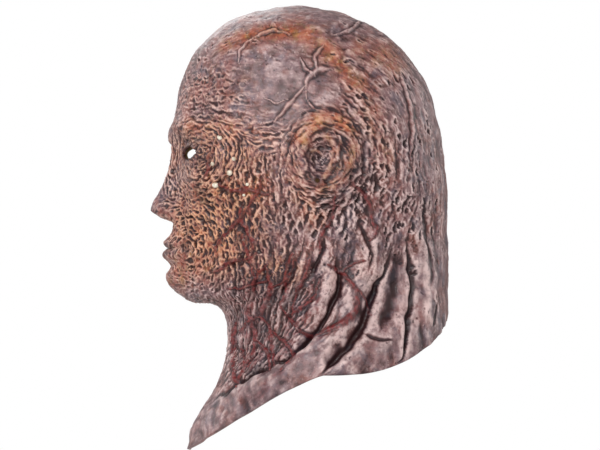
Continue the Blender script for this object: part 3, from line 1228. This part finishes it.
def makePads():
    foam, cement = makeFoamPaint(), makeCementPaint()
    angles = np.linspace(0, 2 * math.pi, pad["segments"], endpoint=False)
    beads = []
    for number, (name, (place, size)) in enumerate(lining["pads"].items()):
        half = wallHalf(place, size)
        inward = underSkin(*place, 1 * mm) - underSkin(*place, 0)
        rings = []
        for reach, share in pad["profile"]:
            depth = lining["wall"] + lining["glue"] + share * lining["padThick"]
            ring = wallRing(place, half, reach, depth, angles)
            dents = (softNoise(ring / mm, 9.0, 200 + number)
                     + 0.5 * softNoise(ring / mm, 3.5, 220 + number))
            rings.append(ring + dents[:, None] * pad["dent"] * inward * ease(share, 0.3, 1.0))
        made = linkMesh(f"foam_{name}", *ringBody(rings), foam)
        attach(made, "root")
        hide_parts(name)
        wobble = 1 + 0.012 * np.sin(angles * 7 + number) + 0.008 * np.sin(angles * 17)
        bead = [wallRing(place, half, reach * wobble, lining["wall"] + share * lining["glue"],
                         angles) for reach, share in pad["bead"]]
        beads.append(ringBody(bead, closeRound=True))
    makeCrownPad(foam)
    made = linkMesh("cement_beads", *gather(beads), cement)
    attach(made, "root")
    print("pads: glued in")


cloth = {
    "gauze": (colour(206, 190, 152), colour(158, 132, 92)),
    "tape": (colour(228, 226, 220), colour(190, 186, 178)),
    "black": (colour(26, 26, 29), colour(58, 58, 62)),
    "thread": (colour(232, 228, 216), colour(160, 156, 146)),
    # a patch's rounded corners leave this share of its rectangle
    "roundShare": 0.883, "tacks": 9, "tackReach": 0.68, "tackHalf": 0.055,
}


def makeClothPaint(name, shades, scale, roughness, sheen):
    pot = PaintPot(name)
    light, dark = shades
    base = pot.mix(pot.blotches(scale, 0.38, 0.62), light, dark)
    base = pot.layer(base, pot.blotches(scale * 6, 0.5, 0.7), 0.5, dark)
    pot.grain(1800.0, 2600.0, 0.7, 0.45, 0.0004)
    pot.shader.inputs["Sheen Weight"].default_value = sheen
    return pot.finish(base, roughness)


def wovenPatch(place, size, thick, threads, relief, samples=5):
    # a rounded patch of plain weave on the inside of the skin
    half = wallHalf(place, size)
    counts = [int(size[k] / threads) * samples + 1 for k in range(2)]
    u, v = np.meshgrid(np.linspace(-1, 1, counts[0]), np.linspace(-1, 1, counts[1]), indexing="ij")
    roundU, roundV = u * (1 - 0.206 * np.abs(v) ** 3), v * (1 - 0.206 * np.abs(u) ** 3)
    over = np.sin(np.pi * (u + 1) / 2 * size[0] / threads)
    under = np.sin(np.pi * (v + 1) / 2 * size[1] / threads)
    weave = relief * (over * under * 0.8 + 0.35 * np.abs(over) + 0.35 * np.abs(under) - 0.4)
    turn, row = place[0] + half[0] * roundU, place[1] + half[1] * roundV
    depth = lining["wall"] + lining["glue"]
    outward = underSkin(turn, row, 0) - underSkin(turn, row, 1)
    top = underSkin(turn, row, depth + thick - relief) - outward * weave[..., None]
    return slabBody(underSkin(turn, row, depth), top)


elastic = {
    "wide": 13.0 * mm, "thick": 1.5 * mm, "sewn": 20.0 * mm, "bow": 7.0 * mm, "gap": 0.4 * mm,
    "ribs": 8, "ribHigh": 0.13 * mm, "crimp": 0.07 * mm, "crimpStep": 1.3 * mm,
    "samples": 900, "across": 65, "seams": (1.5, 7.5, 13.5), "zigs": 16,
}


def elasticLine():
    turn, row = lining["patches"]["left_strap_patch"][0]
    half = halfReach(turn, row, True, elastic["sewn"])
    depth = (lining["wall"] + lining["glue"] + lining["gauzeThick"] + elastic["gap"]
             + elastic["thick"] / 2)
    sewn = underSkin(np.linspace(turn - half, turn + half, 4), row, depth)
    last = sewn[-1]
    free = [last + (-0.13 * last[0], 0.7 * elastic["bow"], 0),
            (0.43 * last[0], last[1] + elastic["bow"], 0)]
    left = np.vstack([sewn, free])
    line = np.vstack([left, (0.0, last[1] + 1.1 * elastic["bow"], 0.0), (left * (-1, 1, 1))[::-1]])
    return line[:, :2], sewn[:, 2].mean()


def makePatches(gauze):
    for name, (place, size) in lining["patches"].items():
        body = wovenPatch(place, size, lining["gauzeThick"], 1.0 * mm, 0.16 * mm)
        made = linkMesh(f"gauze_{name}", *body, gauze)
        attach(made, "root")
        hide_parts(name)


def makeLabel(tape, thread):
    place, size = lining["label"]
    body = wovenPatch(place, size, lining["labelThick"], 0.5 * mm, 0.05 * mm, 4)
    label = linkMesh("care_label_tape", *body, tape)
    half = wallHalf(place, size)
    depth = lining["wall"] + lining["glue"] + lining["labelThick"]
    tacks = []
    for share in np.linspace(-cloth["tackReach"], cloth["tackReach"], cloth["tacks"]):
        ends = np.linspace(-cloth["tackHalf"], cloth["tackHalf"], 7)
        turn, row = place[0] + half[0] * (share + ends), place[1] - 0.72 * half[1] + 0 * ends
        outward = underSkin(turn, row, 0) - underSkin(turn, row, 1)
        lift = 0.16 * mm * np.cos(ends * 28)[:, None]
        tacks.append(tubeBody(underSkin(turn, row, depth) - outward * lift, 0.16 * mm))
    tacking = linkMesh("label_stitches", *gather(tacks), thread)
    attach(label, "root")
    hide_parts("care_label")
    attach(tacking, "root")


def bandBody(line, steps, out, height):
    # a ribbed, crimped band that stands on edge along the line
    across = np.linspace(-0.5, 0.5, elastic["across"])
    ribs = elastic["ribHigh"] * np.abs(np.sin(math.pi * elastic["ribs"] * (across + 0.5)))
    crimp = elastic["crimp"] * np.sin(steps * 2 * math.pi / elastic["crimpStep"])[:, None] * np.cos(
        across * 2 * math.pi * elastic["ribs"])
    swell = elastic["thick"] / 2 - elastic["ribHigh"] + ribs + crimp
    swell = swell * (1 - 0.5 * ease(np.abs(across), 0.46, 0.5))
    high = np.broadcast_to((height + across * elastic["wide"])[:, None], (*swell.shape, 1))
    return slabBody(*(np.concatenate(
        [line[:, None, :] + way * out[:, None, :] * swell[..., None], high], axis=2)
        for way in (-1, 1)))


def seamThreads(line, steps, out, height):
    # zigzag rows on the inner face near both ends
    zig = np.linspace(0, 1, 6)
    lift = elastic["thick"] / 2 + 0.1 * mm + 0.12 * mm * np.sin(math.pi * zig)
    for end, start, k in itertools.product((0, 1), elastic["seams"], range(elastic["zigs"])):
        share = (k + zig) / elastic["zigs"] - 0.5
        away = (start + 1.2 * (zig if k % 2 else 1 - zig)) * mm
        at = away if end == 0 else steps[-1] - away
        x, y = (np.interp(at, steps, line[:, j]) for j in range(2))
        dx, dy = (np.interp(at, steps, out[:, j]) for j in range(2))
        inward = -1 if (x[0] * dx[0] + y[0] * dy[0]) > 0 else 1
        yield tubeBody(np.stack([x + inward * dx * lift, y + inward * dy * lift,
                                 height + 0.88 * share * elastic["wide"]], -1), 0.17 * mm)


def makeElastic(black, thread):
    plan, height = elasticLine()
    line = smoothLine(plan, elastic["samples"])
    along = np.gradient(line, axis=0)
    along /= np.linalg.norm(along, axis=1, keepdims=True)
    steps = np.concatenate([[0], np.cumsum(np.linalg.norm(np.diff(line, axis=0), axis=1))])
    out = np.stack([along[:, 1], -along[:, 0]], axis=1)
    band = linkMesh("elastic_band", *bandBody(line, steps, out, height), black)
    sewing = linkMesh("elastic_stitches", *gather(seamThreads(line, steps, out, height)), thread)
    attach(band, "root")
    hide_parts("nape_elastic")
    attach(sewing, "root")


def makeCloths():
    gauze = makeClothPaint("rubberedGauze", cloth["gauze"], 120, 0.8, 0.0)
    tape = makeClothPaint("labelTape", cloth["tape"], 200, 0.7, 0.1)
    black = makeClothPaint("wovenElastic", cloth["black"], 260, 0.75, 0.3)
    thread = makeClothPaint("sewingThread", cloth["thread"], 900, 0.6, 0.2)
    makePatches(gauze)
    makeLabel(tape, thread)
    makeElastic(black, thread)
    print("cloths: patches, label and elastic sewn in")


blister = {
    "seed": 23, "each": 7, "y": (-66, -20), "drop": (92, 182), "apart": 9.0, "radius": (1.3, 3.1),
    "ivory": colour(238, 230, 212), "ivoryDark": colour(176, 150, 116), "sunk": 0.3, "squash": 0.85,
    "oval": 0.88, "tip": 0.12, "rings": 12, "segments": 24,
}


def blisterSpots():
    # scattered over temple and cheek, a number on each side, none too close together
    draw, made = np.random.default_rng(blister["seed"]), []
    for way in (1, -1):
        kept = []
        while len(kept) < blister["each"]:
            y, drop = draw.uniform(*blister["y"]), draw.uniform(*blister["drop"])
            if all(math.hypot(y - a, drop - b) > blister["apart"] for _, a, b, _ in kept):
                kept.append((way, y, drop, draw.uniform(*blister["radius"])))
        made += kept
    return made


def makeBlisters():
    pot = PaintPot("glossyIvory")
    base = pot.mix(pot.blotches(260, 0.42, 0.66), blister["ivory"], blister["ivoryDark"])
    pot.grain(2000.0, 700.0, 0.8, 0.15, 0.0003)
    pot.shader.inputs["Coat Weight"].default_value = 0.6
    pot.shader.inputs["Coat Roughness"].default_value = 0.12
    ivory = pot.finish(base, 0.28)
    form = surface["form"]
    turns = np.linspace(0, 2 * math.pi, blister["segments"], endpoint=False)
    bodies = []
    for number, (way, y, drop, radius) in enumerate(blisterSpots()):
        away = np.hypot(form[:, 1] - y, form[:, 2] - drop) + 1e3 * (form[:, 0] * way < 0)
        at = int(np.argmin(away))
        normal = surface["normals"][at]
        flat = np.cross(normal, (0.2, 0.1, 1.0))
        flat /= np.linalg.norm(flat)
        other = np.cross(normal, flat)
        rings = []
        for lift in np.linspace(blister["tip"], math.pi - blister["tip"], blister["rings"]):
            wide = radius * mm * math.sin(lift) * (1 + 0.07 * np.sin(2 * turns + number))
            rings.append(surface["points"][at] + normal * radius * mm * blister["squash"]
                         * (math.cos(lift) + blister["sunk"])
                         + np.cos(turns)[:, None] * wide[:, None] * flat
                         + np.sin(turns)[:, None] * wide[:, None] * other * blister["oval"])
        bodies.append(ringBody(rings))
    made = linkMesh("ivory_blisters", *gather(bodies), ivory)
    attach(made, "root")
    print("blisters: set")


makePads()
makeCloths()
makeBlisters()


# Pale floor well under the mask, soft lights and a long lens from the mask's left.
studio = {
    "floorDrop": 0.46, "floorReach": 1.0, "cameraAway": 2.2, "viewWide": 0.504,
    "viewMiddle": (0.0, 0.008, -0.1685), "sky": 0.27, "white": (1, 1, 1, 1), "filmWide": 36.0,
    "floorPaint": colour(235, 234, 232), "floorSides": 96,
    # place, size and power of each soft light
    "lights": (((1.6, -0.7, 0.75), 0.7, 27.0), ((1.4, 1.2, 0.3), 1.0, 4.0),
               ((-1.3, -0.5, 0.9), 0.9, 9.0), ((-0.6, -1.2, 0.1), 0.8, 4.0),
               ((-0.5, 1.4, 0.3), 0.9, 6.0)),
}


def makeFloor(scene):
    mesh = bpy.data.meshes.new("floorDisc")
    sides, reach = studio["floorSides"], studio["floorReach"]
    rim = [(reach * math.cos(a), reach * math.sin(a), -studio["floorDrop"])
           for a in np.linspace(0, 2 * math.pi, sides, endpoint=False)]
    mesh.from_pydata(rim, [], [tuple(range(sides))])
    floor = bpy.data.objects.new("floor", mesh)
    scene.collection.objects.link(floor)
    mesh.materials.append(PaintPot("paleFloor").finish(studio["floorPaint"], 0.7))


def makeLights(scene):
    for index, (place, size, power) in enumerate(studio["lights"]):
        data = bpy.data.lights.new(f"softbox{index}", "AREA")
        data.size, data.energy = size, power
        lamp = bpy.data.objects.new(f"softbox{index}", data)
        scene.collection.objects.link(lamp)
        lamp.location = place
        way = np.array(place) - studio["viewMiddle"]
        lamp.rotation_euler = (math.atan2(math.hypot(way[0], way[1]), way[2]), 0,
                               math.atan2(way[0], -way[1]))


def makeRoom(scene):
    # the camera sees plain white, and the mask gets a dimmer sky
    world = bpy.data.worlds.new("paleRoom")
    scene.world = world
    world.use_nodes = True
    nodes, join = world.node_tree.nodes, world.node_tree.links.new
    nodes.clear()
    rays, both, out = (nodes.new(kind) for kind in
                       ("ShaderNodeLightPath", "ShaderNodeMixShader", "ShaderNodeOutputWorld"))
    for socket, strength in ((1, studio["sky"]), (2, 1.0)):
        glow = nodes.new("ShaderNodeBackground")
        glow.inputs["Color"].default_value = studio["white"]
        glow.inputs["Strength"].default_value = strength
        join(glow.outputs["Background"], both.inputs[socket])
    join(rays.outputs["Is Camera Ray"], both.inputs["Fac"])
    join(both.outputs["Shader"], out.inputs["Surface"])


def makeCamera(scene):
    data = bpy.data.cameras.new("sideCamera")
    data.sensor_width = studio["filmWide"]
    data.lens = studio["filmWide"] * studio["cameraAway"] / studio["viewWide"]
    camera = bpy.data.objects.new("sideCamera", data)
    scene.collection.objects.link(camera)
    camera.location = (studio["cameraAway"], *studio["viewMiddle"][1:])
    camera.rotation_euler = (math.pi / 2, 0, math.pi / 2)
    scene.camera = camera
    scene.view_settings.view_transform = "Standard"


def makeStudio():
    scene = bpy.context.scene
    makeFloor(scene)
    makeLights(scene)
    makeRoom(scene)
    makeCamera(scene)


makeStudio()
